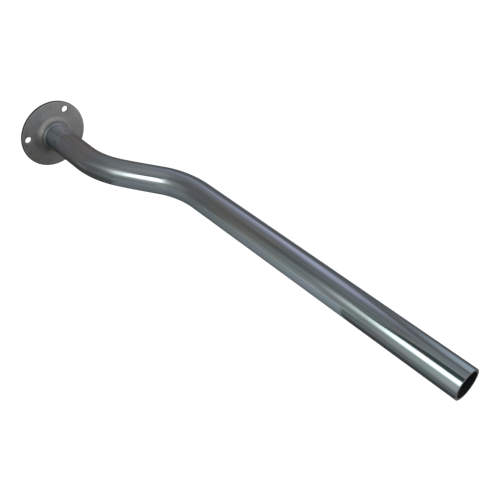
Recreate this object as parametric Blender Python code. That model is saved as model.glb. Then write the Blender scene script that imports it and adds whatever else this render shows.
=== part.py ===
"""Flanged support tube: a round steel tube with an offset bend, held by a round flange.

Metres, +Z up. The origin is the centre of the bolt circle, on the flange's mounting face.
+X runs out along the tube's first leg, and +Y is the way the tube steps aside.
"""

import math

import bmesh
import bpy
from mathutils import Matrix, Vector

# Tube
TUBE_DIAMETER = 0.0424
TUBE_WALL = 0.0032
FIRST_LEG = 0.100       # from the mounting face to the first bend
MIDDLE_LEG = 0.0635
LONG_LEG = 0.461
BEND_RADIUS = 0.148     # to the tube's centreline, the same at both bends
BEND_ANGLE = math.radians(30)
TUBE_SETBACK = 0.003    # the tube's end stays this far inside the mounting face
CUT_EDGE_BREAK = 0.0004

# Flange, pressed from plate, with its collar drawn up round the tube
FLANGE_LAND = 0.0248    # flat ring from the foot of the fillet to the rim
FLANGE_THICKNESS = 0.004
RIM_ROUND = 0.0018      # front edge of the rim, rolled over by the press
RIM_BREAK = 0.0005      # back edge of the rim
COLLAR_WALL = 0.0027
COLLAR_FILLET = 0.008
COLLAR_LAND = 0.003     # straight part of the collar, above its fillet
COLLAR_LIP = 0.0011

# Bolt holes
HOLE_FROM_RIM = 0.0115  # from the hole's centre to the rim
BOLT_HOLE_DIAMETER = 0.011
BOLT_HOLES = 3
FIRST_HOLE = math.radians(49.7)     # from +Y towards +Z
DRILL_OVERRUN = 0.002

# Weld ring in the throat behind the collar
WELD_ROOT = math.radians(25)        # how far into the throat the weld reaches, round its curve
WELD_TOE = math.radians(58)         # where the weld ends on the throat
WELD_CROWN = 0.0006

SEAT_GAP = 0.0003       # between pieces that touch

# Fineness of the facets
TUBE_SIDES = 64
FLANGE_SIDES = 64
HOLE_SIDES = 32
BEND_STEPS = 8
FILLET_STEPS = 6
THROAT_STEPS = 8
WELD_STEPS = 4
EDGE_STEPS = 3
SMOOTH_LIMIT = math.radians(35)     # edges sharper than this stay sharp
CORNER_LIMIT = math.radians(60)     # edges sharper than this on the tube are its cut edges

TUBE_RADIUS = TUBE_DIAMETER / 2
COLLAR_BORE = TUBE_RADIUS + SEAT_GAP
COLLAR_RADIUS = COLLAR_BORE + COLLAR_WALL
COLLAR_TOP = FLANGE_THICKNESS + COLLAR_FILLET + COLLAR_LAND
FILLET_CENTRE = Vector((FLANGE_THICKNESS + COLLAR_FILLET, COLLAR_RADIUS + COLLAR_FILLET))
FLANGE_RADIUS = FILLET_CENTRE.y + FLANGE_LAND
BOLT_CIRCLE_RADIUS = FLANGE_RADIUS - HOLE_FROM_RIM

QUARTER = math.pi / 2
X_AXIS = Vector((1, 0, 0))
Z_AXIS = Vector((0, 0, 1))
SQUARE_TO_X = Matrix.Rotation(QUARTER, 4, "Y")


def clear_scene():
    for obj in list(bpy.data.objects):
        bpy.data.objects.remove(obj, do_unlink=True)


def steel(name, colour, roughness):
    """A metal finish with one colour."""
    material = bpy.data.materials.new(name)
    material.use_nodes = True
    shader = material.node_tree.nodes["Principled BSDF"]
    shader.inputs["Base Color"].default_value = (*colour, 1)
    shader.inputs["Metallic"].default_value = 1
    shader.inputs["Roughness"].default_value = roughness
    return material


def finished_object(name, bm, material, parent):
    """Makes an object of a mesh: its faces point out, and what is round is shaded smooth."""
    bmesh.ops.recalc_face_normals(bm, faces=bm.faces)
    mesh = bpy.data.meshes.new(name)
    bm.to_mesh(mesh)
    bm.free()
    mesh.shade_smooth()
    mesh.set_sharp_from_angle(angle=SMOOTH_LIMIT)
    mesh.materials.append(material)
    obj = bpy.data.objects.new(name, mesh)
    obj.parent = parent
    bpy.context.scene.collection.objects.link(obj)
    return obj


def arc(centre, size, start, end, steps):
    """Points (x, radius) on an arc of this size about a centre."""
    points = []
    for step in range(steps + 1):
        angle = start + (end - start) * step / steps
        points.append(centre + Vector((math.cos(angle), math.sin(angle))) * size)
    return points


def turned(outline, sides):
    """A closed outline of (x, radius) points, spun once round the X axis."""
    bm = bmesh.new()
    verts = [bm.verts.new((x, radius, 0)) for x, radius in outline]
    edges = [bm.edges.new((verts[i - 1], verts[i])) for i in range(len(verts))]
    bmesh.ops.spin(
        bm,
        geom=verts + edges,
        cent=(0, 0, 0),
        axis=X_AXIS,
        angle=2 * math.pi,
        steps=sides,
        use_merge=True,
    )
    return bm


def tube_cut(bm):
    """The tube's cut face square to the X axis: a disc, inset by the wall, with its middle removed."""
    place = Matrix.Translation(X_AXIS * TUBE_SETBACK) @ SQUARE_TO_X
    bmesh.ops.create_circle(
        bm, cap_ends=True, segments=TUBE_SIDES, radius=TUBE_RADIUS, matrix=place
    )
    disc = list(bm.faces)
    bmesh.ops.inset_region(
        bm, faces=disc, thickness=TUBE_WALL, use_boundary=True, use_even_offset=True
    )
    bmesh.ops.delete(bm, geom=disc, context="FACES")
    return bm.verts[:] + bm.edges[:] + bm.faces[:]


def push_leg(bm, cut, direction, length):
    """Draws the cut face straight out into a leg of tube, and returns the cut at its far end."""
    made = bmesh.ops.extrude_face_region(bm, geom=cut)["geom"]
    verts = [item for item in made if isinstance(item, bmesh.types.BMVert)]
    bmesh.ops.translate(bm, verts=verts, vec=direction * length)
    return made


def roll_bend(bm, cut, centre, angle):
    """Sweeps the cut face round a bend in the XY plane, and returns the cut at its far end."""
    made = bmesh.ops.spin(bm, geom=cut, cent=centre, axis=Z_AXIS, angle=angle, steps=BEND_STEPS)
    return made["geom_last"]


def make_tube(material, parent):
    """The tube's cut face, pushed along the legs and rolled round the bends in turn."""
    slope = Matrix.Rotation(BEND_ANGLE, 3, "Z") @ X_AXIS
    slope_left = Matrix.Rotation(BEND_ANGLE + QUARTER, 3, "Z") @ X_AXIS
    first_centre = Vector((FIRST_LEG, BEND_RADIUS, 0))
    second_start = first_centre - slope_left * BEND_RADIUS + slope * MIDDLE_LEG
    second_centre = second_start - slope_left * BEND_RADIUS

    bm = bmesh.new()
    cut = push_leg(bm, tube_cut(bm), X_AXIS, FIRST_LEG - TUBE_SETBACK)
    cut = roll_bend(bm, cut, first_centre, BEND_ANGLE)
    cut = push_leg(bm, cut, slope, MIDDLE_LEG)
    cut = roll_bend(bm, cut, second_centre, -BEND_ANGLE)
    push_leg(bm, cut, X_AXIS, LONG_LEG)

    tube = finished_object("bent_tube", bm, material, parent)
    edge_break = tube.modifiers.new("edge_break", "BEVEL")
    edge_break.limit_method = "ANGLE"
    edge_break.angle_limit = CORNER_LIMIT
    edge_break.width = CUT_EDGE_BREAK
    edge_break.segments = 1
    return tube


def flange_outline():
    """The flange's half section, from the mouth of the collar round the rim and back up the throat."""
    lip_centre = Vector((COLLAR_TOP - COLLAR_LIP, COLLAR_RADIUS - COLLAR_LIP))
    rim_front = Vector((FLANGE_THICKNESS - RIM_ROUND, FLANGE_RADIUS - RIM_ROUND))
    rim_back = Vector((RIM_BREAK, FLANGE_RADIUS - RIM_BREAK))
    outline = [Vector((COLLAR_TOP, COLLAR_BORE))]
    outline += arc(lip_centre, COLLAR_LIP, 0, QUARTER, EDGE_STEPS)
    outline += arc(FILLET_CENTRE, COLLAR_FILLET, -QUARTER, -2 * QUARTER, FILLET_STEPS)
    outline += arc(rim_front, RIM_ROUND, 0, QUARTER, EDGE_STEPS)
    outline += arc(rim_back, RIM_BREAK, QUARTER, 2 * QUARTER, EDGE_STEPS)
    outline += throat(QUARTER, 0, 0, THROAT_STEPS)
    return outline


def throat(start, end, inset, steps):
    """The rounded throat behind the collar, a quarter ellipse that ends on the collar's bore.

    Its angle runs from 0 on the bore to 90 degrees on the mounting face. inset moves the points
    square off its surface, towards the tube.
    """
    along = FILLET_CENTRE.x
    out = FILLET_CENTRE.y - COLLAR_BORE
    points = []
    for step in range(steps + 1):
        angle = start + (end - start) * step / steps
        on_curve = FILLET_CENTRE - Vector((along * math.sin(angle), out * math.cos(angle)))
        normal = Vector((-math.sin(angle) / along, -math.cos(angle) / out)).normalized()
        points.append(on_curve + normal * inset)
    return points


def make_flange(material, parent):
    flange = finished_object("flange", turned(flange_outline(), FLANGE_SIDES), material, parent)
    for number in range(BOLT_HOLES):
        angle = FIRST_HOLE + number * 2 * math.pi / BOLT_HOLES
        drill = bolt_hole_drill(f"bolt_hole_{number + 1}", angle, parent)
        cut = flange.modifiers.new(drill.name, "BOOLEAN")
        cut.operation = "DIFFERENCE"
        cut.solver = "EXACT"
        cut.object = drill
    return flange


def bolt_hole_drill(name, angle, parent):
    """A round cutter through the plate, on the bolt circle at this angle."""
    bm = bmesh.new()
    bmesh.ops.create_cone(
        bm,
        cap_ends=True,
        segments=HOLE_SIDES,
        radius1=BOLT_HOLE_DIAMETER / 2,
        radius2=BOLT_HOLE_DIAMETER / 2,
        depth=FLANGE_THICKNESS + 2 * DRILL_OVERRUN,
        matrix=SQUARE_TO_X,
    )
    drill = finished_object(name, bm, None, parent)
    drill.location = (
        FLANGE_THICKNESS / 2,
        math.cos(angle) * BOLT_CIRCLE_RADIUS,
        math.sin(angle) * BOLT_CIRCLE_RADIUS,
    )
    drill.hide_render = True
    drill.display_type = "WIRE"
    return drill


def make_weld(material, parent):
    """The weld ring: it fills the throat beside the tube, and its free face is crowned.

    Its outline runs from its root along the throat to its toe, over the crown to the tube's end.
    """
    along_throat = throat(WELD_ROOT, WELD_TOE, SEAT_GAP, WELD_STEPS)
    toe = along_throat[-1]
    tube_corner = Vector((TUBE_SETBACK, COLLAR_BORE))
    outline = [Vector((along_throat[0].x, COLLAR_BORE))] + along_throat
    run = tube_corner - toe
    outwards = Vector((run.y, -run.x)).normalized()
    for step in range(1, WELD_STEPS):
        share = step / WELD_STEPS
        rise = WELD_CROWN * 4 * share * (1 - share)
        outline.append(toe + run * share + outwards * rise)
    outline.append(tube_corner)
    return finished_object("root_weld", turned(outline, FLANGE_SIDES), material, parent)


def main():
    clear_scene()
    centre = bpy.data.objects.new("mounting_face_centre", None)
    bpy.context.scene.collection.objects.link(centre)
    make_tube(steel("zinc_bright", (0.42, 0.45, 0.48), 0.24), centre)
    make_flange(steel("zinc_matt", (0.36, 0.37, 0.38), 0.45), centre)
    make_weld(steel("zinc_on_weld", (0.30, 0.31, 0.32), 0.5), centre)


main()
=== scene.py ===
import math

import bpy
import numpy as np
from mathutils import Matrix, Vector


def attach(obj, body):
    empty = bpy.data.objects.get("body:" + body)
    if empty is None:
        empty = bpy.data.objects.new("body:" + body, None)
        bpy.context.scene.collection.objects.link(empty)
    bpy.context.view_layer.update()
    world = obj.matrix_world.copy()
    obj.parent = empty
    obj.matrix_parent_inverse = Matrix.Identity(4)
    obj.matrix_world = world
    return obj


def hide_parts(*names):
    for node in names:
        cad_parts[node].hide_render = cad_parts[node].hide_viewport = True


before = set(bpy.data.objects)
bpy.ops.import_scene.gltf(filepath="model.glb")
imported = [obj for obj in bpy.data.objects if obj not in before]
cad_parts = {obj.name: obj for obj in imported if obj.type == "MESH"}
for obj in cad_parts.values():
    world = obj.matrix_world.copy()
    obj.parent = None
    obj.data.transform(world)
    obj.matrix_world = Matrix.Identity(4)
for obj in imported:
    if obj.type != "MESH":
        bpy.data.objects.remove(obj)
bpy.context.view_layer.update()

turn = 2 * math.pi


class Wire:
    # One output of a shader node. Arithmetic on it adds Math nodes to its tree.

    def __init__(self, tree, socket=None):
        self.tree = tree
        self.socket = socket

    def node(self, kind, settings=None, inputs=None, output=0):
        # Any node: its type, its settings (set first), then values or wires for its sockets.
        made = self.tree.nodes.new("ShaderNode" + kind)
        for name, value in (settings or {}).items():
            if name == "stops":
                ramp = made.color_ramp.elements
                while len(ramp) < len(value):
                    ramp.new(1)
                for stop, (place, colour) in zip(ramp, value):
                    stop.position = place
                    stop.color = (*colour, 1)
            else:
                setattr(made, name, value)
        for name, value in (inputs or {}).items():
            if isinstance(value, Wire):
                self.tree.links.new(value.socket, made.inputs[name])
            else:
                made.inputs[name].default_value = value
        return Wire(self.tree, made.outputs[output] if made.outputs else None)

    def maths(self, operation, *values):
        return self.node("Math", {"operation": operation}, dict(enumerate(values)))

    def __add__(self, other):
        return self.maths("ADD", self, other)

    def __radd__(self, other):
        return self.maths("ADD", other, self)

    def __sub__(self, other):
        return self.maths("SUBTRACT", self, other)

    def __rsub__(self, other):
        return self.maths("SUBTRACT", other, self)

    def __mul__(self, other):
        return self.maths("MULTIPLY", self, other)

    def __rmul__(self, other):
        return self.maths("MULTIPLY", other, self)

    def __truediv__(self, other):
        return self.maths("DIVIDE", self, other)

    def __rtruediv__(self, other):
        return self.maths("DIVIDE", other, self)

    def clamped(self):
        return self.node("Clamp", {}, {0: self})

    def smooth(self, low, high):
        # 0 below low, 1 above high and a soft S between them. low may be the larger one.
        return self.node(
            "MapRange", {"interpolation_type": "SMOOTHSTEP"}, {0: self, 1: low, 2: high}
        )

    def band(self, limits):
        # Two limits: 0 at the first and 1 from the second on. Four: it rises between the first
        # two and falls between the last two. No limits: 1 everywhere.
        if not limits:
            return 1
        mask = self.smooth(limits[0], limits[1])
        if len(limits) == 4:
            mask = mask * self.smooth(limits[3], limits[2])
        return mask

    def noise(self, place, scale, detail=2.0, roughness=0.5):
        # place is a vector wire, stretched by scale = (x, y, z) waves to the metre.
        stretched = self.node("Mapping", {"vector_type": "POINT"}, {0: place, 3: scale})
        return self.node(
            "TexNoise",
            {"noise_dimensions": "3D"},
            {"Vector": stretched, "Scale": 1.0, "Detail": detail, "Roughness": roughness},
        )

    def blend(self, first, second):
        # Mixes two colours by this wire.
        return self.node("Mix", {"data_type": "RGBA"}, {0: self, 6: first, 7: second}, 2)

    def parts(self, vector):
        # The x, y and z of a vector wire.
        return (self.node("SeparateXYZ", {}, {0: vector}, number) for number in range(3))


def newMaterial(name):
    # A material with an empty tree, and the wire that its nodes are made from.
    material = bpy.data.materials.new(name)
    material.use_nodes = True
    material.node_tree.nodes.clear()
    return material, Wire(material.node_tree)


def metal(wire, colour, roughness, metallic, bumps, edgeTint=(1, 1, 1)):
    # A Principled metal. bumps is a list of (height wire, size in metres), the coarsest first.
    normal = None
    for height, size in bumps:
        inputs = {"Height": height, "Distance": size}
        if normal is not None:
            inputs["Normal"] = normal
        normal = wire.node("Bump", {}, inputs)
    inputs = {
        "Base Color": colour,
        "Roughness": roughness,
        "Metallic": metallic,
        "Specular Tint": (*edgeTint, 1),
    }
    if normal is not None:
        inputs["Normal"] = normal
    shader = wire.node("BsdfPrincipled", {}, inputs)
    wire.node("OutputMaterial", {}, {"Surface": shader})


def ringIndex(rows, columns):
    # Index array of a grid of points that is closed both ways, (rows, columns).
    return np.arange(rows * columns).reshape(rows, columns)


def quadsOf(index):
    # The quads of an index grid that closes both ways: each cell takes its next row and column.
    right = np.roll(index, -1, axis=1)
    down = np.roll(index, -1, axis=0)
    corner = np.roll(right, -1, axis=0)
    return np.stack([index, right, corner, down], axis=-1).reshape(-1, 4)


def addPiece(name, points, quads, material, values=None):
    # A smooth shaded object from arrays. values holds named point attributes.
    corners = points[quads]
    centre = points.mean(axis=0)
    across = np.cross(corners[:, 2] - corners[:, 0], corners[:, 3] - corners[:, 1])
    volume = np.einsum("ij,ij->", corners.mean(axis=1) - centre, across)
    if volume < 0:
        quads = quads[:, ::-1]
    mesh = bpy.data.meshes.new(name)
    mesh.from_pydata(points.tolist(), [], quads.tolist())
    for key, value in (values or {}).items():
        flat = value.ndim == 1
        layer = mesh.attributes.new(key, "FLOAT" if flat else "FLOAT_VECTOR", "POINT")
        layer.data.foreach_set("value" if flat else "vector", value.astype(np.float32).ravel())
    mesh.shade_smooth()
    mesh.materials.append(material)
    mesh.update()
    piece = bpy.data.objects.new(name, mesh)
    bpy.context.scene.collection.objects.link(piece)
    print(f"{name}: {len(points)} points, {len(quads)} quads")
    return piece


def arcPoints(centre, size, start, end, steps):
    # (x, radius) points on an arc about a centre, from one angle to another in degrees.
    angle = np.radians(np.linspace(start, end, steps + 1))
    return np.stack([centre[0] + size * np.cos(angle), centre[1] + size * np.sin(angle)], axis=1)


camera = {  # fitted to the photo's outline
    "place": (0.94642, -0.39194, 0.62059),
    "turn": (47.1555, 1.5084, 47.8521),  # degrees
    "lens": 49.116,
    "sensor": 36,
}


def makeCamera(v):
    data = bpy.data.cameras.new("camera")
    data.lens = v["lens"]
    data.sensor_width = v["sensor"]
    obj = bpy.data.objects.new("camera", data)
    obj.location = v["place"]
    obj.rotation_euler = [math.radians(a) for a in v["turn"]]
    bpy.context.scene.collection.objects.link(obj)
    bpy.context.scene.camera = obj


makeCamera(camera)
print("camera set")


tube = {
    "outside": 0.0424,  # diameter
    "wall": 0.0032,
    "start": 0.003,  # the tube's end behind the collar, from the mounting face
    "firstLeg": 0.100,  # from the mounting face
    "middleLeg": 0.0635,
    "longLeg": 0.461,
    "bendRadius": 0.148,
    "bendAngle": 30,  # degrees
    "bendEase": 0.008,  # length over which the curvature comes and goes
    "lag": [  # where the tube sprang back off the former: place, reach, turn in degrees
        (0.182, 0.014, -1.9),
        (0.250, 0.009, 1.4),
    ],
    "edgeRound": 0.0004,
    "boreRound": 0.0003,
    "seamHeight": 0.0005,  # trimmed weld seam inside the bore
    "seamWidth": 0.0022,
    "seamAngle": 236,  # degrees from +Y towards +Z
    "sides": 224,
    "stepStraight": 0.012,
    "stepBend": 0.003,
    "edgeSupport": 0.0012,  # from the cut end to the last ring on the outside
    "faceSupport": 0.0002,  # from each rounded edge to the next ring on the cut face
    "edgeSteps": 4,
    "boreSteps": 3,
    "fineSteps": 8000,  # of the sums that give the centreline
}


def bendPlaces(v):
    # The length of one bend, and the lengths at which each bend starts and the tube ends.
    arc = v["bendRadius"] * math.radians(v["bendAngle"])
    bendTwo = v["firstLeg"] + arc + v["middleLeg"]
    return arc, v["firstLeg"], bendTwo, bendTwo + arc + v["longLeg"]


def tubeLine(v, along):
    # The centreline as x, y and heading at the lengths "along", measured from the mounting face.
    # The heading rises evenly round the first bend and falls evenly round the second, softened
    # over the ease, and each lag adds size * e ** -(distance / reach) ** 2. x and y are the
    # running sums of its cosine and sine.
    angle = math.radians(v["bendAngle"])
    arc, bendOne, bendTwo, end = bendPlaces(v)
    fine = np.linspace(0, end, v["fineSteps"] + 1)
    step = fine[1] - fine[0]
    heading = angle * (
        np.clip((fine - bendOne) / arc, 0, 1) - np.clip((fine - bendTwo) / arc, 0, 1)
    )
    width = int(v["bendEase"] / step)
    padded = np.pad(heading, width, mode="edge")
    window = np.hanning(2 * width + 1)
    heading = np.convolve(padded, window / window.sum(), mode="valid")
    for place, reach, size in v["lag"]:
        heading = heading + math.radians(size) * np.exp(-(((fine - place) / reach) ** 2))
    middle = (heading[1:] + heading[:-1]) / 2
    x, y = (np.concatenate([[0], np.cumsum(part(middle)) * step]) for part in (np.cos, np.sin))
    return [np.interp(along, fine, curve) for curve in (x, y, heading)]


def tubeStations(v):
    # Lengths at which the outside has a ring of points: close together in the bends.
    arc, bendOne, bendTwo, end = bendPlaces(v)
    ease = v["bendEase"]
    last = end - v["edgeSupport"]
    paintedShadeAndLight = [v["start"] + v["edgeSupport"], bendOne - ease, bendOne + arc + ease]
    paintedShadeAndLight += [bendTwo - ease, bendTwo + arc + ease, last]
    runs = []
    for number, (a, b) in enumerate(zip(paintedShadeAndLight, paintedShadeAndLight[1:])):
        step = v["stepStraight"] if number in (0, 4) else v["stepBend"]
        count = max(2, int(round((b - a) / step)))
        runs.append(np.linspace(a, b, count, endpoint=False))
    return np.concatenate([*runs, [last]]), end


def makeTube(v, material):
    # A closed outline of (length, radius) is carried along the centreline: out along the outside,
    # round the cut edge, back along the bore and round the other end. Each of its points becomes a
    # ring, centre + radius * (cos a * sideways + sin a * up).
    outsideLengths, end = tubeStations(v)
    outer = v["outside"] / 2
    inner = outer - v["wall"]
    edge, bore = v["edgeRound"], v["boreRound"]
    edgeSteps, boreSteps = v["edgeSteps"], v["boreSteps"]
    start = v["start"]
    high, low = outer - edge - v["faceSupport"], inner + bore + v["faceSupport"]
    outline = np.concatenate(
        [
            np.stack([outsideLengths, np.full_like(outsideLengths, outer)], axis=1),
            arcPoints((end - edge, outer - edge), edge, 90, 0, edgeSteps),
            [[end, high], [end, low]],
            arcPoints((end - bore, inner + bore), bore, 0, -90, boreSteps),
            np.stack([outsideLengths[::-1], np.full_like(outsideLengths, inner)], axis=1),
            arcPoints((start + bore, inner + bore), bore, -90, -180, boreSteps),
            [[start, low], [start, high]],
            arcPoints((start + edge, outer - edge), edge, 180, 90, edgeSteps),
        ]
    )
    along, radius = outline[:, 0], outline[:, 1]
    x, y, heading = tubeLine(v, along)
    angle = np.arange(v["sides"]) * turn / v["sides"]

    # The seam stands up inside the bore as a low rounded ridge.
    fromSeam = np.angle(np.exp(1j * (angle - math.radians(v["seamAngle"])))) * inner
    ridge = v["seamHeight"] * np.exp(-((fromSeam / (v["seamWidth"] / 2)) ** 2))
    inBore = np.clip((inner + bore - radius) / bore, 0, 1)
    reach = radius[:, None] - inBore[:, None] * ridge[None, :]

    sideways = np.cos(angle)[None, :] * reach
    up = np.sin(angle)[None, :] * reach
    points = np.stack(
        [
            x[:, None] - np.sin(heading)[:, None] * sideways,
            y[:, None] + np.cos(heading)[:, None] * sideways,
            up,
        ],
        axis=-1,
    )
    length = np.broadcast_to(along[:, None], sideways.shape)
    straight = np.stack([length, sideways, up], axis=-1).reshape(-1, 3)
    # For the material: 1 from within the cut edge's rounding inwards, and 1 on the bore's wall.
    depth = np.where(radius < outer - edge * 0.7, 1.0, 0.0)
    within = np.where(radius < inner + bore * 0.6, 1.0, 0.0)
    spread = np.ones(v["sides"])
    index = ringIndex(len(along), v["sides"])
    return addPiece(
        "bentTube",
        points.reshape(-1, 3),
        quadsOf(index),
        material,
        {
            "straightTube": straight,
            "cutFace": (depth[:, None] * spread).ravel(),
            "boreWall": (within[:, None] * spread).ravel(),
        },
    )


brightZinc = {
    "film": [  # film colours from the flange to the free end, by the share of the length
        (0.04, (0.46, 0.45, 0.47)),
        (0.09, (0.45, 0.455, 0.50)),
        (0.14, (0.455, 0.455, 0.465)),
        (0.20, (0.415, 0.46, 0.475)),
        (0.45, (0.42, 0.46, 0.475)),
        (0.56, (0.43, 0.455, 0.45)),
        (0.68, (0.395, 0.46, 0.475)),
        (0.95, (0.37, 0.46, 0.46)),
    ],
    "wander": 0.10,  # how far these colours wander along the tube, as a share of its length
    "patches": [  # thinner and thicker film: where the drift is high or low, and its colour
        ((0.55, 0.80), (0.47, 0.455, 0.43)),
        ((0.55, 0.25), (0.425, 0.45, 0.50)),
    ],
    "driftUp": 0.10,  # how the drift rises from underneath to the top
    # Painted reflection tints: along the tube, from underneath (-1) to the top (1), share, colour.
    "tints": {
        "legTop": ((0.15, 0.11), (0.35, 0.85), 1.0, (0.50, 0.455, 0.44)),
        "longTop": ((0.20, 0.27), (0.25, 0.60), 0.8, (0.41, 0.45, 0.50)),
        "brown": ((0.33, 0.39, 0.44, 0.49), (-0.30, -0.05, 0.30, 0.55), 0.5, (0.47, 0.455, 0.41)),
    },
    "neckReflectionReach": (0.056, 0.036),  # painted reflection of the flange beside the collar, along the tube
    "neckReflection": (0.40, 0.47, 0.515),
    "neckReflectionTops": [  # and its lighter colours towards the top, painted light
        ((0.35, 0.75), (0.56, 0.57, 0.65)),
        ((0.76, 0.90), (0.76, 0.77, 0.82)),
    ],
    "plain": 0.80,  # how bright it is without what the lines, smudges and die lines add
    "lined": 0.10,
    "smudged": 0.10,
    "dieLined": 0.20,
    # Painted shade and painted highlights: along the tube, from underneath to the top, how much
    # brighter.
    "paintedShadeAndLight": {
        "bendShade": ((0.115, 0.145, 0.163, 0.180), (-0.72, -0.55, -0.22, -0.02), -0.35),
        "underBendShade": ((0.163, 0.175, 0.240, 0.262), (-0.64, -0.50, -0.43, -0.30), -0.35),
        "streakShade": ((0.40, 0.52, 0.69, 0.74), (0.18, 0.27, 0.46, 0.62), -0.34),
        "streakHighlight": ((0.36, 0.44, 0.56, 0.60), (-0.46, -0.36, -0.26, -0.12), 0.32),
    },
    "sheenStretch": (0.13, 0.17, 0.256, 0.272),  # stretch painted brighter, a painted sheen where the bends' highlight lies
    "paintedSheen": 0.12,  # how much brighter it is there
    "roughness": 0.075,
    "lineRoughness": 0.05,
    "smudgeRoughness": 0.04,
    "rolled": [  # roughness added where the tube was rolled: along the tube, how much
        ((0.06, 0.12, 0.17, 0.225), 0.13),
        ((0.256, 0.276, 0.31, 0.36), 0.065),
    ],
    "cutColour": (0.42, 0.37, 0.35),
    "cutShine": (0.55, 0.52, 0.50),
    "cutRoughness": 0.3,  # added on the cut end
    # near black: painted shade in the bore
    "boreColour": (0.022, 0.030, 0.032),
    "boreScale": (0.055, 0.055, 0.055),
    "boreRoughness": 0.4,  # added in the bore
    "boreDullness": 0.5,
    "lineHeight": 0.0000015,
    "peelHeight": 0.00002,
    "edgeTint": (0.7, 0.7, 0.72),
    "waves": {  # waves to the metre along, aside and up, their detail and roughness
        "film": ((11, 34, 34), 2.0, 0.5),
        "drift": ((17, 45, 45), 2.0, 0.5),
        "lines": ((9, 900, 900), 3.0, 0.6),
        "dieLines": ((2.2, 330, 330), 2.0, 0.55),
        "smudge": ((30, 60, 60), 4.0, 0.6),
        "scale": ((120, 220, 220), 5.0, 0.65),
        "grain": ((1500, 1500, 1500), 2.0, 0.6),
        "peel": ((160, 260, 260), 2.0, 0.5),
    },
}


def makeBrightZinc(v, t):
    # Bright plating under a thin passivate film, whose colour changes along the tube and wanders.
    # Fine drawing lines run lengthwise, and the rolls left rougher stretches. Painted shade,
    # painted highlights, a painted sheen and painted reflection tints lie along it, with a painted
    # reflection of the flange beside the collar. Everything reads the straightened tube: its
    # length, and its two directions across.
    material, wire = newMaterial("brightZinc")
    place = wire.node("Attribute", {"attribute_name": "straightTube"}, {}, 1)
    cut = wire.node("Attribute", {"attribute_name": "cutFace"}, {}, 2)
    bore = wire.node("Attribute", {"attribute_name": "boreWall"}, {}, 2)
    length, aside, height = wire.parts(place)
    top = (aside + height) * (math.sqrt(0.5) / (t["outside"] / 2))  # 1 at the top, -1 underneath
    wave = {name: wire.noise(place, *row) for name, row in v["waves"].items()}
    lines, smudge = wave["lines"], wave["smudge"]

    share = length / bendPlaces(t)[-1] + v["wander"] * (wave["film"] - 0.5)
    film = wire.node("ValToRGB", {"stops": v["film"]}, {0: share})
    drift = wave["drift"] + v["driftUp"] * top
    for limits, tint in v["patches"]:
        film = drift.smooth(*limits).blend(film, (*tint, 1))
    # Painted reflection tints on parts of the tube.
    for along, across, amount, tint in v["tints"].values():
        film = (amount * length.band(along) * top.band(across)).blend(film, (*tint, 1))
    # Painted reflection of the flange beside the collar, lighter towards the top.
    paintedNeckReflection = (*v["neckReflection"], 1)
    for limits, tint in v["neckReflectionTops"]:
        paintedNeckReflection = top.smooth(*limits).blend(paintedNeckReflection, (*tint, 1))
    film = length.smooth(*v["neckReflectionReach"]).blend(film, paintedNeckReflection)

    shade = v["plain"] + v["lined"] * lines + v["smudged"] * smudge
    shade = shade + v["dieLined"] * wave["dieLines"].smooth(0.3, 0.7)
    # Painted sheen where the bends' highlight lies.
    shade = shade * (1 + v["paintedSheen"] * length.band(v["sheenStretch"]))
    # Painted shade on the lower side at the first bend and above the long leg's highlight, painted
    # light below it.
    shadeAndLight = 1
    for along, across, amount in v["paintedShadeAndLight"].values():
        shadeAndLight = shadeAndLight + amount * length.band(along) * top.band(across)
    outside = wire.node("VectorMath", {"operation": "SCALE"}, {0: film, 3: shade * shadeAndLight})
    # The bore's wall near black, painted shade, with flecks of scale.
    boreTint = wave["scale"].smooth(0.35, 0.7).blend((*v["boreColour"], 1), (*v["boreScale"], 1))
    cutTint = wave["grain"].smooth(0.3, 0.7).blend((*v["cutColour"], 1), (*v["cutShine"], 1))
    colour = bore.blend(cut.blend(outside, cutTint), boreTint)

    roughness = v["roughness"] + v["lineRoughness"] * (lines - 0.5)
    roughness = roughness + v["smudgeRoughness"] * (smudge - 0.5)
    for along, amount in v["rolled"]:
        roughness = roughness + amount * length.band(along)
    roughness = roughness + cut * v["cutRoughness"] + bore * v["boreRoughness"]
    metallic = 1 - bore * v["boreDullness"]
    bumps = [(wave["peel"], v["peelHeight"]), (lines, v["lineHeight"])]
    metal(wire, colour, roughness, metallic, bumps, v["edgeTint"])
    return material


bentTube = makeTube(tube, makeBrightZinc(brightZinc, tube))
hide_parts("bent_tube")
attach(bentTube, "root")
print("bent tube made")


flange = {
    "thickness": 0.004,
    "radius": 0.057,
    "rimRound": 0.0018,
    "rimBreak": 0.0005,
    "collarBore": 0.02125,
    "collarWall": 0.0027,
    "collarTop": 0.0155,
    "collarTaper": 0.0034,  # length over which the collar thins out against the tube
    "collarTip": 0.0003,
    "fillet": 0.008,
    "holeCircle": 0.0455,
    "holeDiameter": 0.011,
    "holes": 3,
    "firstHole": 49.7,  # degrees from +Y towards +Z
    "punchRound": 0.0006,  # edge drawn in by the punch, on the front
    "backBreak": 0.0002,
    "sides": 240,
    "windowCells": 18,  # cells of the round grid that a hole's patch takes
    "window": (0.0370, 0.0535),  # radii between which the patch lies
    "windowRings": 12,
    "patchRings": 8,
    "patchEase": 1.2,  # power that draws the patch's rings towards the hole
    "lipRings": 14,
    "filletSteps": 32,
    "rimSteps": 10,
    "breakSteps": 4,
    "throatRings": 33,
    "punchSteps": 5,
    "backSteps": 2,
    "innerRing": 0.0345,  # between the fillet and the patches
    "outerRing": 0.0550,  # between the patches and the rim
    "filletSupport": 0.0004,  # from a rounding to the next ring on the flat
    "rimSupport": 0.0003,
    "holeSupport": 0.00025,
    "collarSeat": 0.004,  # length of the collar's straight bore
}


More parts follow.
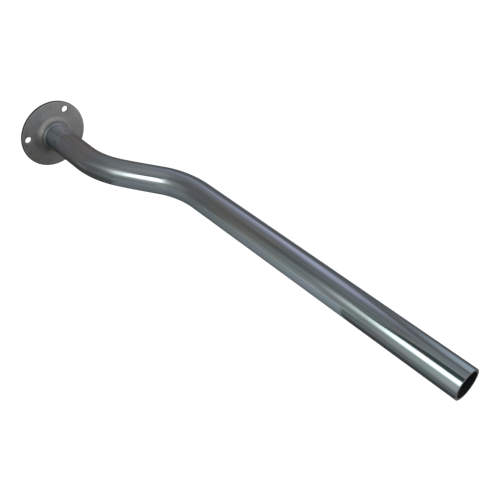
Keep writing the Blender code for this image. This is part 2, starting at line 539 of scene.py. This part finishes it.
def flangeOutline(v):
    # The half section as (x, radius): collar lip, fillet, flat front, rim, flat back, throat.
    top, taper, wall = v["collarTop"], v["collarTaper"], v["collarWall"]
    bore = v["collarBore"]
    outside = bore + wall
    # The lip thins out as (x / length) ** 1.5 + (radius / wall) ** 1.5 = 1, blunted at its tip.
    tip = v["collarTip"]
    lean = np.radians(np.linspace(6, 88, v["lipRings"]))
    thinning = [taper * np.cos(lean) ** (4 / 3), (wall - tip) * np.sin(lean) ** (4 / 3)]
    lip = np.stack(thinning, axis=1) + (top - taper, bore + tip)
    fillet = (v["thickness"] + v["fillet"], outside + v["fillet"])
    rim = (v["thickness"] - v["rimRound"], v["radius"] - v["rimRound"])
    back = (v["rimBreak"], v["radius"] - v["rimBreak"])
    flat = np.linspace(*v["window"], v["windowRings"] + 1)
    inside = [fillet[1] + v["filletSupport"], v["innerRing"]]
    front = np.concatenate([inside, flat, [rim[1] - v["rimSupport"]]])
    behind = np.concatenate([[back[1] - v["rimSupport"], v["outerRing"]], flat[::-1], inside[::-1]])
    angle = np.radians(np.linspace(90, 0, v["throatRings"]))
    throat = np.stack(
        [fillet[0] * (1 - np.sin(angle)), fillet[1] - (fillet[1] - bore) * np.cos(angle)], axis=1
    )
    return np.concatenate(
        [
            [[top - v["collarSeat"], bore], [top - 2 * tip, bore]],
            arcPoints((top - 1.5 * tip, bore + tip), tip, -90, -10, 3)[1:],
            lip,
            arcPoints(fillet, v["fillet"], -90, -180, v["filletSteps"]),
            np.stack([np.full_like(front, v["thickness"]), front], axis=1),
            arcPoints(rim, v["rimRound"], 0, 90, v["rimSteps"]),
            [[back[0] + v["rimSupport"], v["radius"]]],
            arcPoints(back, v["rimBreak"], 90, 180, v["breakSteps"]),
            np.stack([np.zeros_like(behind), behind], axis=1),
            throat,
        ]
    )


def windowLoop(rows, columns):
    # Row and column offsets once round the edge of a window of cells.
    right = np.arange(columns)
    down = np.arange(rows)
    row = np.concatenate([0 * right, down, 0 * right + rows, rows - down])
    column = np.concatenate([right, 0 * down + columns, columns - right, 0 * down])
    return row, column


def makeFlange(v, material):
    # The half section is turned once round the X axis. Round each bolt hole a window of cells is
    # left out on both faces, and rings of points fill it: each ring is a weighted mean of the
    # hole's circle and the window's edge. Rings down the hole's wall join the two faces.
    outline = flangeOutline(v)
    sides = v["sides"]
    first = math.radians(v["firstHole"])
    angle = first + np.arange(sides) * turn / sides
    x = np.broadcast_to(outline[:, :1], (len(outline), sides))
    points = np.stack([x, outline[:, 1:] * np.cos(angle), outline[:, 1:] * np.sin(angle)], axis=-1)
    index = ringIndex(len(outline), sides)
    keep = np.ones((len(outline), sides), bool)

    low, high = v["window"]
    small = 1e-6
    inWindow = (outline[:, 1] > low - small) & (outline[:, 1] < high + small)
    onFront = np.abs(outline[:, 0] - v["thickness"]) < small
    frontTop = np.flatnonzero(inWindow & onFront)[0]
    backTop = np.flatnonzero(inWindow & (outline[:, 0] < small))[0]
    rings, cells = v["windowRings"], v["windowCells"]
    loopRow, loopColumn = windowLoop(rings, cells)
    blends = np.linspace(0, 1, v["patchRings"])[1:-1] ** v["patchEase"]
    radius = v["holeDiameter"] / 2
    punch, backBreak, support = v["punchRound"], v["backBreak"], v["holeSupport"]
    punched = (v["thickness"] - punch, radius + punch)
    broken = (backBreak, radius + backBreak)
    wall = np.concatenate(
        [
            arcPoints(punched, punch, 0, -90, v["punchSteps"]),
            arcPoints(broken, backBreak, -90, -180, v["backSteps"]),
        ]
    )

    allPoints = [points.reshape(-1, 3)]
    allQuads = []
    total = points.shape[0] * points.shape[1]
    for number in range(v["holes"]):
        middle = number * sides // v["holes"]
        firstColumn = middle - cells // 2
        columns = (firstColumn + loopColumn) % sides
        for top in (frontTop, backTop):
            keep[np.ix_(top + np.arange(rings), (firstColumn + np.arange(cells)) % sides)] = False
        frontLoop = index[frontTop + loopRow, columns]
        backLoop = index[backTop + rings - loopRow, columns]
        centreAngle = first + number * turn / v["holes"]
        centre = v["holeCircle"] * np.array([math.cos(centreAngle), math.sin(centreAngle)])
        edge = allPoints[0][frontLoop][:, 1:]
        outwards = edge - centre
        outwards /= np.linalg.norm(outwards, axis=1, keepdims=True)

        def ring(depth, size, share):
            # share 0 is the circle of this size, share 1 the window's edge.
            flat = (centre + outwards * size) * (1 - share) + edge * share
            return np.concatenate([np.full((len(flat), 1), depth), flat], axis=1)

        front, behind = radius + punch + support, radius + backBreak + support
        made = [ring(v["thickness"], front, share) for share in [*blends[::-1], 0]]
        made += [ring(depth, size, 0) for depth, size in wall]
        made += [ring(0, behind, share) for share in [0, *blends]]
        count = len(frontLoop)
        own = total + ringIndex(len(made), count)
        strip = np.concatenate([frontLoop[None], own, backLoop[None]])
        right = np.roll(strip, -1, axis=1)
        allQuads.append(
            np.stack([strip[:-1], right[:-1], right[1:], strip[1:]], axis=-1).reshape(-1, 4)
        )
        allPoints.append(np.concatenate(made))
        total += len(made) * count
    quads = np.concatenate([quadsOf(index)[keep.ravel()], *allQuads])
    return addPiece("pressedFlange", np.concatenate(allPoints), quads, material)


mattZinc = {
    "colour": (0.55, 0.51, 0.49),
    "dark": (0.345, 0.32, 0.31),
    # colour of the rim edge's painted highlight and of the rubbed collar
    "highlightAndBurnish": (0.53, 0.505, 0.46),
    # the rim's outer side, painted shade
    "rimSideShade": (0.07, 0.065, 0.068),
    "lip": (0.27, 0.285, 0.30),  # painted shade where the collar meets the tube
    # lighter towards the top: painted light
    "lipTopLight": (0.42, 0.43, 0.46),
    "lipLightLimits": (0.45, 0.85),  # from underneath (-1) to the top (1)
    "lipHeight": (0.0070, 0.0135),  # from the mounting face
    "lipShadeShare": 0.9,
    "toneLimits": (0.34, 0.66),  # values of the mottle that turn dark and light
    "rimInset": (0.0026, 0.0016),  # edge of the rim, in from the outside: painted highlight, and smoother
    "sideInset": (0.0012, 0.0004),
    "collarReach": (0.0325, 0.0285),  # radii between which the rubbed collar starts
    # how much the rim's edge is painted lighter as a highlight, and the collar rubbed
    "rimHighlight": 0.7,
    "collarRub": 0.5,
    "paintedShade": {  # painted shade on one side of the face, darkest at the collar
        "angle": 205,  # degrees from +Y towards +Z
        "edges": (0.45, 0.95),  # cosine of the angle from there
        "allOver": 0.13,
        "atCollar": 0.30,
        "collarReach": (0.040, 0.028),
    },
    "roughness": 0.54,
    "speckleRoughness": 0.12,
    "rimRoughness": -0.10,
    "collarRoughness": 0.08,
    "lipRoughness": -0.10,
    "speckleHeight": 0.00008,
    "grainHeight": 0.00003,
    "edgeTint": (0.6, 0.6, 0.62),
    "waves": {  # waves to the metre, their detail and roughness
        "grain": ((1900, 1900, 1900), 3.0, 0.65),
        "speckle": ((480, 480, 480), 3.0, 0.7),
        "mottle": ((90, 90, 90), 3.0, 0.55),
    },
}


def makeMattZinc(v, f):
    # Plating over rolled and pressed plate: a fine sandy grain, mottled, with the collar rubbed by
    # the press tool, a painted highlight round the rim's edge, the rim's side and the collar's lip
    # in painted shade, the lip lighter towards the top, and painted shade on one side, darkest at
    # the collar.
    material, wire = newMaterial("mattZinc")
    place = wire.node("TexCoord", {}, {}, 3)
    x, aside, height = wire.parts(place)
    flatPlace = wire.node("VectorMath", {"operation": "MULTIPLY"}, {0: place, 1: (0, 1, 1)})
    fromAxis = wire.node("VectorMath", {"operation": "LENGTH"}, {0: flatPlace}, 1)
    wave = {name: wire.noise(place, *row) for name, row in v["waves"].items()}
    speckle = wave["speckle"]
    rim = fromAxis.smooth(*(f["radius"] - inset for inset in v["rimInset"]))
    side = fromAxis.smooth(*(f["radius"] - inset for inset in v["sideInset"]))
    collar = fromAxis.smooth(*v["collarReach"])
    lip = x.smooth(*v["lipHeight"])
    top = (aside + height) * (math.sqrt(0.5) / f["collarBore"])

    tone = (0.3 * wave["mottle"] + 0.7 * speckle).smooth(*v["toneLimits"])
    base = tone.blend((*v["dark"], 1), (*v["colour"], 1))
    # The rim's edge gets a painted highlight; the collar is rubbed.
    highlightAndRub = (rim * v["rimHighlight"] + collar * v["collarRub"]).clamped()
    colour = (highlightAndRub * (0.6 + 0.4 * speckle)).blend(base, (*v["highlightAndBurnish"], 1))
    # Painted shade on one side of the face, darkest at the collar.
    paintedShade = v["paintedShade"]
    angle = math.radians(paintedShade["angle"])
    toSide = (aside * math.cos(angle) + height * math.sin(angle)) / fromAxis
    darker = paintedShade["allOver"] + paintedShade["atCollar"] * fromAxis.smooth(*paintedShade["collarReach"])
    left = 1 - toSide.smooth(*paintedShade["edges"]) * darker
    colour = wire.node("VectorMath", {"operation": "SCALE"}, {0: colour, 3: left})
    # The rim's side in painted shade.
    colour = side.blend(colour, (*v["rimSideShade"], 1))
    # The collar's lip in painted shade, lighter towards the top.
    lipShadeTint = top.smooth(*v["lipLightLimits"]).blend((*v["lip"], 1), (*v["lipTopLight"], 1))
    colour = (lip * v["lipShadeShare"]).blend(colour, lipShadeTint)
    roughness = v["roughness"] + v["speckleRoughness"] * (speckle - 0.5)
    roughness = roughness + v["rimRoughness"] * rim + v["collarRoughness"] * collar
    roughness = roughness + v["lipRoughness"] * lip
    bumps = [(speckle, v["speckleHeight"]), (wave["grain"], v["grainHeight"])]
    metal(wire, colour, roughness, 1.0, bumps, v["edgeTint"])
    return material


pressedFlange = makeFlange(flange, makeMattZinc(mattZinc, flange))
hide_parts("flange")
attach(pressedFlange, "root")
print("flange made")


weld = {
    "toe": 58,  # degrees round the throat at which the weld ends
    "root": 25,
    "gap": 0.0003,
    "crown": 0.0007,
    "swells": [(3, 1.0, 0.0875), (7, 0.0, 0.07)],  # of the crown: times round, turn, how much
    "ripple": 0.00022,
    "ripples": 46,
    "rippleLag": 1.3,  # how far a ripple's edges trail behind its middle, in radians
    "sides": 460,
    "across": 14,
}


def makeWeld(w, f, t, material):
    # A ring bead in the throat. Its hidden side follows the throat's quarter ellipse; its free
    # side is a crowned arc from the toe to the tube's end, and waves run round it as a weld is
    # laid: crown * (1 - u * u) + ripple * |sin| of an angle that lags behind at the bead's edges.
    along = f["thickness"] + f["fillet"]
    centre = np.array([along, f["collarBore"] + f["collarWall"] + f["fillet"]])
    out = centre[1] - f["collarBore"]
    angle = np.radians(np.linspace(w["root"], w["toe"], w["across"] + 1))
    normal = np.stack([-np.sin(angle) / along, -np.cos(angle) / out], axis=1)
    normal /= np.linalg.norm(normal, axis=1, keepdims=True)
    throat = centre - np.stack([along * np.sin(angle), out * np.cos(angle)], axis=1)
    hidden = throat + normal * w["gap"]
    toe = hidden[-1]
    corner = np.array([t["start"], f["collarBore"]])
    run = corner - toe
    square = np.array([run[1], -run[0]]) / np.linalg.norm(run)
    across = np.linspace(0, 1, w["across"] + 1)[1:-1]
    wide = 2 * across - 1
    around = np.arange(w["sides"]) * turn / w["sides"]
    lag = w["ripples"] * around[None, :] - w["rippleLag"] * wide[:, None] ** 2
    wave = np.abs(np.sin(lag / 2)) - 0.5
    swell = sum(size * np.sin(times * around + shift) for times, shift, size in w["swells"])
    crown = w["crown"] * (1 + swell[None, :])
    rise = (1 - wide[:, None] ** 2) * (crown + w["ripple"] * wave)
    free = toe + across[:, None] * run
    freeX = free[:, :1] + square[0] * rise
    freeR = free[:, 1:] + square[1] * rise
    spread = np.ones((1, w["sides"]))
    base = np.concatenate([[[hidden[0][0], f["collarBore"]]], hidden])
    x = np.concatenate([base[:, :1] * spread, freeX, corner[0] * spread])
    radius = np.concatenate([base[:, 1:] * spread, freeR, corner[1] * spread])
    points = np.stack([x, radius * np.cos(around), radius * np.sin(around)], axis=-1)
    quads = quadsOf(ringIndex(len(x), w["sides"]))
    return addPiece("rootWeld", points.reshape(-1, 3), quads, material)


weldZinc = {
    "colour": (0.36, 0.36, 0.37),
    "valley": (0.16, 0.155, 0.15),
    "toneLimits": (0.35, 0.60),
    "roughness": 0.4,
    "pitRoughness": 0.25,
    "pitDepth": 0.00012,
    "speckleDepth": 0.00005,
    "speckle": ((800, 800, 800), 4.0, 0.65),  # waves to the metre, their detail and roughness
    "pits": ((260, 260, 260), 3.0, 0.6),
}


def makeWeldZinc(v):
    # Plating over a weld bead, darker and rougher where it is pitted.
    material, wire = newMaterial("weldZinc")
    place = wire.node("TexCoord", {}, {}, 3)
    speckle, pits = (wire.noise(place, *v[name]) for name in ("speckle", "pits"))
    tone = (0.5 * speckle + 0.5 * pits).smooth(*v["toneLimits"])
    colour = tone.blend((*v["valley"], 1), (*v["colour"], 1))
    roughness = v["roughness"] + v["pitRoughness"] * (pits - 0.5)
    metal(wire, colour, roughness, 1.0, [(pits, v["pitDepth"]), (speckle, v["speckleDepth"])])
    return material


rootWeld = makeWeld(weld, flange, tube, makeWeldZinc(weldZinc))
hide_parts("root_weld")
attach(rootWeld, "root")
print("weld made")


studio = {
    "floorHeight": -0.62,
    "floorReach": 12,
    "floorColour": (0.86, 0.86, 0.86),
    "floorLift": 0.8,  # light of its own that only the camera and mirror-like rays see
    "ambient": 0.35,
    "tentCentre": (0.38, 0.0, 0.0),
    "tentReach": (2.6, 2.6, 2.2),
    "tentDrop": 0.58,  # how far the tent reaches below the object
    "tentSides": 96,
    "tentRings": 49,
    "tentLevels": [  # height as the sine of the elevation, halved about 0.5, and the light there
        (0.07, (0.12, 0.12, 0.12)),
        (0.27, (0.10, 0.10, 0.10)),
        (0.36, (0.15, 0.15, 0.15)),
        (0.46, (0.19, 0.19, 0.19)),
        (0.90, (0.215, 0.215, 0.215)),
        (0.945, (0.25, 0.255, 0.26)),
        (0.98, (0.36, 0.37, 0.38)),
    ],
}

# Soft lighter places on the tent: azimuth from +X towards +Y, elevation, half width and half
# height, all in degrees, how soft the edge is, and the light added.
tentPanels = {
    "lavenderCore": (124, 42, 10, 15, 0.45, (0.31, 0.30, 0.38)),
    "lavenderPanel": (133, 44, 16, 20, 0.6, (0.22, 0.22, 0.30)),
    "lavenderSpill": (147, 39, 10, 10, 0.5, (0.09, 0.09, 0.12)),
    "backSpill": (163, 48, 9, 8, 0.6, (0.07, 0.07, 0.08)),
    "backTop": (-160, 65, 48, 9, 0.5, (0.11, 0.11, 0.115)),
    "bluePanel": (78, 31, 23, 20, 0.25, (0.37, 0.43, 0.49)),
    "blueSpill": (78, 2, 25, 14, 0.5, (0.09, 0.11, 0.13)),
    "keySpill": (-114, 29, 14, 22, 0.7, (0.14, 0.165, 0.165)),
    "frontPanel": (-15, 20, 42, 28, 0.5, (0.34, 0.43, 0.47)),
    "frontSpot": (36, 22, 22, 17, 0.5, (0.38, 0.44, 0.50)),
    "lowPanel": (25, -33, 30, 22, 0.6, (0.16, 0.16, 0.16)),
    "underPanel": (-86, -36, 28, 20, 0.3, (0.15, 0.16, 0.16)),
    "rearPanel": (180, -4, 20, 10, 0.4, (0.45, 0.45, 0.45)),
}

keyPlane = {
    "middle": (0.224, -1.022, 0.762),
    "across": (-0.989, 0.148, 0.0),
    "up": (0.0866, 0.5786, 0.809),
}

# Cards that only the metal sees. Each is flat: its middle, its two directions, its outline in
# those directions, its colour and level, and what adds to the level or takes from it: how much,
# and where across and up, as limits for band. A fade is the share of the light that is left, and
# where up the card it grows back to all of it.
cards = {
    "keySoftbox": {
        **keyPlane,
        "outline": [
            (-0.45, -0.50), (0.42, -0.50), (0.42, 0.46), (0.28, 0.46), (0.22, 0.26),
            (0.15, 0.20), (0.09, 0.25), (0.04, 0.40), (-0.45, 0.40),
        ],
        "colour": (0.98, 1.0, 0.98),
        "level": 0.34,
        "adds": [  # a long soft tail from the tube's middle to the bends
            (0.95, (0.40, 0.08), (-0.58, -0.08, 0.14, 0.46)),
            (1.6, (0.14, -0.02), (-0.58, -0.08, 0.14, 0.46)),
        ],
    },
    "blackFlag": {
        **keyPlane,
        "outline": [
            (-0.45, 0.42), (0.07, 0.42), (0.13, 0.27), (0.19, 0.31),
            (0.14, 0.46), (0.12, 1.10), (-0.45, 1.15),
        ],
        "colour": (0.85, 1.0, 1.0),
        "level": 0.10,
        "adds": [],
    },
    "frontCard": {
        "middle": (0.0, -0.95, 0.0),
        "across": (1.0, 0.0, 0.0),
        "up": (0.0, 0.0, 1.0),
        "outline": [(-0.9, -0.57), (0.78, -0.57), (0.78, 0.31), (-0.9, 0.31)],
        "colour": (0.97, 1.0, 0.96),
        "level": 0.20,
        "adds": [  # brighter towards the tube's free end
            (0.10, (-0.6, -0.1), ()),
            (0.10, (-0.1, 0.2), ()),
            (0.15, (0.2, 0.36), ()),
            (0.09, (0.36, 0.5), ()),
            (0.14, (-0.4, -0.5), (-0.12, -0.2)),
        ],
        "fade": (0.5, (-0.9, 0.0)),  # darker towards the floor
    },
    "paleSheet": {
        "middle": (0.0, 0.0, -0.07),
        "across": (1.0, 0.0, 0.0),
        "up": (0.0, 1.0, 0.0),
        "outline": [
            (0.13, 0.02), (0.18, -0.10), (0.13, -0.20), (0.02, -0.30),
            (-0.10, -0.48), (0.40, -0.50), (0.46, -0.23), (0.53, -0.08),
            (0.60, 0.12), (0.64, 0.40), (0.04, 0.40), (0.05, 0.06),
        ],
        "colour": (0.91, 1.0, 1.03),
        "level": 0.31,
        "adds": [
            (0.27, (0.15, 0.5), ()),  # brighter away from the flange
            (-0.124, (), (-0.12, 0.08)),  # shaded under the tube
            (-0.108, (0.15, 0.5), (-0.12, 0.08)),
            (0.55, (0.5, 0.2), (0.06, 0.13)),  # brightest to the flange's right
            (0.12, (0.6, 0.5), (-0.1, -0.3)),
        ],
    },
}

softbox = {
    "place": (2.2, 1.2, 1.3),
    "target": (0.38, 0.02, 0.0),
    "size": (0.9, 0.9),
    "radiance": 1.6,
}


def backdropShare(wire):
    # 1 for the rays that may see the pale backdrop: the camera's, mirrored ones and those that
    # pass through, and 0 for the rest.
    names = ("Is Camera Ray", "Is Glossy Ray", "Is Transmission Ray")
    straight, mirrored, through = (wire.node("LightPath", {}, {}, name) for name in names)
    return (straight + mirrored + through).clamped()


def addBackdrop(name, points, faces, material):
    # A floor, tent or card from its points and faces.
    mesh = bpy.data.meshes.new(name)
    mesh.from_pydata(points, [], faces)
    mesh.materials.append(material)
    backdrop = bpy.data.objects.new(name, mesh)
    bpy.context.scene.collection.objects.link(backdrop)
    return backdrop


def showToMetalOnly(backdrop):
    # Leaves it to be seen by mirrored rays alone.
    for ray in ("camera", "diffuse", "shadow", "transmission"):
        setattr(backdrop, "visible_" + ray, False)


def makeFloor(v):
    # A pale square that takes shadows, lifted by light of its own for the backdrop's rays.
    material, wire = newMaterial("paleFloor")
    diffuse = wire.node("BsdfDiffuse", {}, {"Color": (*v["floorColour"], 1)})
    lift = backdropShare(wire) * v["floorLift"]
    own = wire.node("Emission", {}, {"Color": (1, 1, 1, 1), "Strength": lift})
    wire.node("OutputMaterial", {}, {"Surface": wire.node("AddShader", {}, {0: diffuse, 1: own})})
    reach, height = v["floorReach"], v["floorHeight"]
    signs = ((-1, -1), (1, -1), (1, 1), (-1, 1))
    corners = [(a * reach, b * reach, height) for a, b in signs]
    floor = addBackdrop("floor", corners, [(0, 1, 2, 3)], material)


def makeWorld(v):
    # White for the backdrop's rays, and only the ambient share of it for the rest.
    world = bpy.data.worlds.new("studio")
    world.use_nodes = True
    world.node_tree.nodes.clear()
    wire = Wire(world.node_tree)
    strength = v["ambient"] + backdropShare(wire) * (1 - v["ambient"])
    background = wire.node("Background", {}, {"Color": (1, 1, 1, 1), "Strength": strength})
    wire.node("OutputWorld", {}, {"Surface": background})
    bpy.context.scene.world = world


def makeTent(v, panels):
    # A grey cloth tent that only the metal sees: an egg with a flat base, whose points are
    # centre + reach * (cos e * cos a, cos e * sin a, sin e) for azimuth a and elevation e. Its
    # light changes with the height, and soft lighter panels are added to it.
    azimuth = np.linspace(0, turn, v["tentSides"] + 1)[:-1]
    elevation = np.linspace(-math.pi / 2, math.pi / 2, v["tentRings"])
    reach = v["tentReach"]
    x = v["tentCentre"][0] + reach[0] * np.cos(elevation)[:, None] * np.cos(azimuth)
    y = v["tentCentre"][1] + reach[1] * np.cos(elevation)[:, None] * np.sin(azimuth)
    z = np.maximum(reach[2] * np.sin(elevation), -v["tentDrop"])[:, None] + 0 * x
    points = np.stack([x, y, z], axis=-1).reshape(-1, 3)
    index = np.arange(len(points)).reshape(x.shape)
    right = np.roll(index, -1, axis=1)
    quads = np.stack([index[:-1], right[:-1], right[1:], index[1:]], axis=-1).reshape(-1, 4)

    material, wire = newMaterial("greyTent")
    place = wire.node("TexCoord", {}, {}, 3)
    centre = Vector(v["tentCentre"])
    offset = wire.node("VectorMath", {"operation": "SUBTRACT"}, {0: place, 1: centre})
    way = wire.node("VectorMath", {"operation": "NORMALIZE"}, {0: offset})
    x, y, height = wire.parts(way)
    rise = height.maths("ARCSINE", height) * math.degrees(1)
    colour = wire.node("ValToRGB", {"stops": v["tentLevels"]}, {0: height * 0.5 + 0.5})
    for azimuthOf, elevationOf, wide, high, soft, light in panels.values():
        a = math.radians(azimuthOf)
        ahead = x * math.cos(a) + y * math.sin(a)
        aside = y * math.cos(a) - x * math.sin(a)
        fromMiddle = aside.maths("ARCTAN2", aside, ahead) * math.degrees(1)
        broad = fromMiddle.maths("ABSOLUTE", fromMiddle)
        tall = rise.maths("ABSOLUTE", rise - elevationOf)
        mask = broad.smooth(wide * (1 + soft), wide * (1 - soft))
        mask = mask * tall.smooth(high * (1 + soft), high * (1 - soft))
        added = wire.node("VectorMath", {"operation": "SCALE"}, {0: light, 3: mask})
        colour = wire.node("VectorMath", {"operation": "ADD"}, {0: colour, 1: added})
    glow = wire.node("Emission", {}, {"Color": colour, "Strength": 1.0})
    wire.node("OutputMaterial", {}, {"Surface": glow})
    tent = addBackdrop("greyTent", points.tolist(), quads.tolist(), material)
    showToMetalOnly(tent)


def makeCard(name, v):
    # A flat card from its outline. Its light is level + the sum of amount * across * up, where
    # across and up are soft masks of the lengths in the card's two directions.
    material, wire = newMaterial(name)
    place = wire.node("TexCoord", {}, {}, 3)
    middle = Vector(v["middle"])
    offset = wire.node("VectorMath", {"operation": "SUBTRACT"}, {0: place, 1: middle})
    across, up = (
        wire.node("VectorMath", {"operation": "DOT_PRODUCT"}, {0: offset, 1: v[way]}, 1)
        for way in ("across", "up")
    )
    light = v["level"]
    for amount, acrossLimits, upLimits in v["adds"]:
        light = light + amount * across.band(acrossLimits) * up.band(upLimits)
    if "fade" in v:
        kept, limits = v["fade"]
        light = light * (kept + (1 - kept) * up.band(limits))
    colour = wire.node("VectorMath", {"operation": "SCALE"}, {0: v["colour"], 3: light})
    glow = wire.node("Emission", {}, {"Color": colour, "Strength": 1.0})
    wire.node("OutputMaterial", {}, {"Surface": glow})
    corners = [middle + Vector(v["across"]) * a + Vector(v["up"]) * b for a, b in v["outline"]]
    corners = [tuple(corner) for corner in corners]
    card = addBackdrop(name, corners, [tuple(range(len(corners)))], material)
    showToMetalOnly(card)


def makeSoftbox(v):
    # One soft lamp behind the object, turned to face the tube.
    wide, high = v["size"]
    data = bpy.data.lights.new("rearSoftbox", "AREA")
    data.shape = "RECTANGLE"
    data.size, data.size_y = wide, high
    data.energy = v["radiance"] * wide * high * math.pi
    lamp = bpy.data.objects.new("rearSoftbox", data)
    lamp.location = v["place"]
    aim = Vector(v["target"]) - Vector(v["place"])
    lamp.rotation_euler = aim.to_track_quat("-Z", "Y").to_euler()
    lamp.visible_camera = False
    bpy.context.scene.collection.objects.link(lamp)


makeFloor(studio)
makeWorld(studio)
makeTent(studio, tentPanels)
for name, card in cards.items():
    makeCard(name, card)
makeSoftbox(softbox)
bpy.context.scene.view_settings.view_transform = "Standard"
print("studio lit")
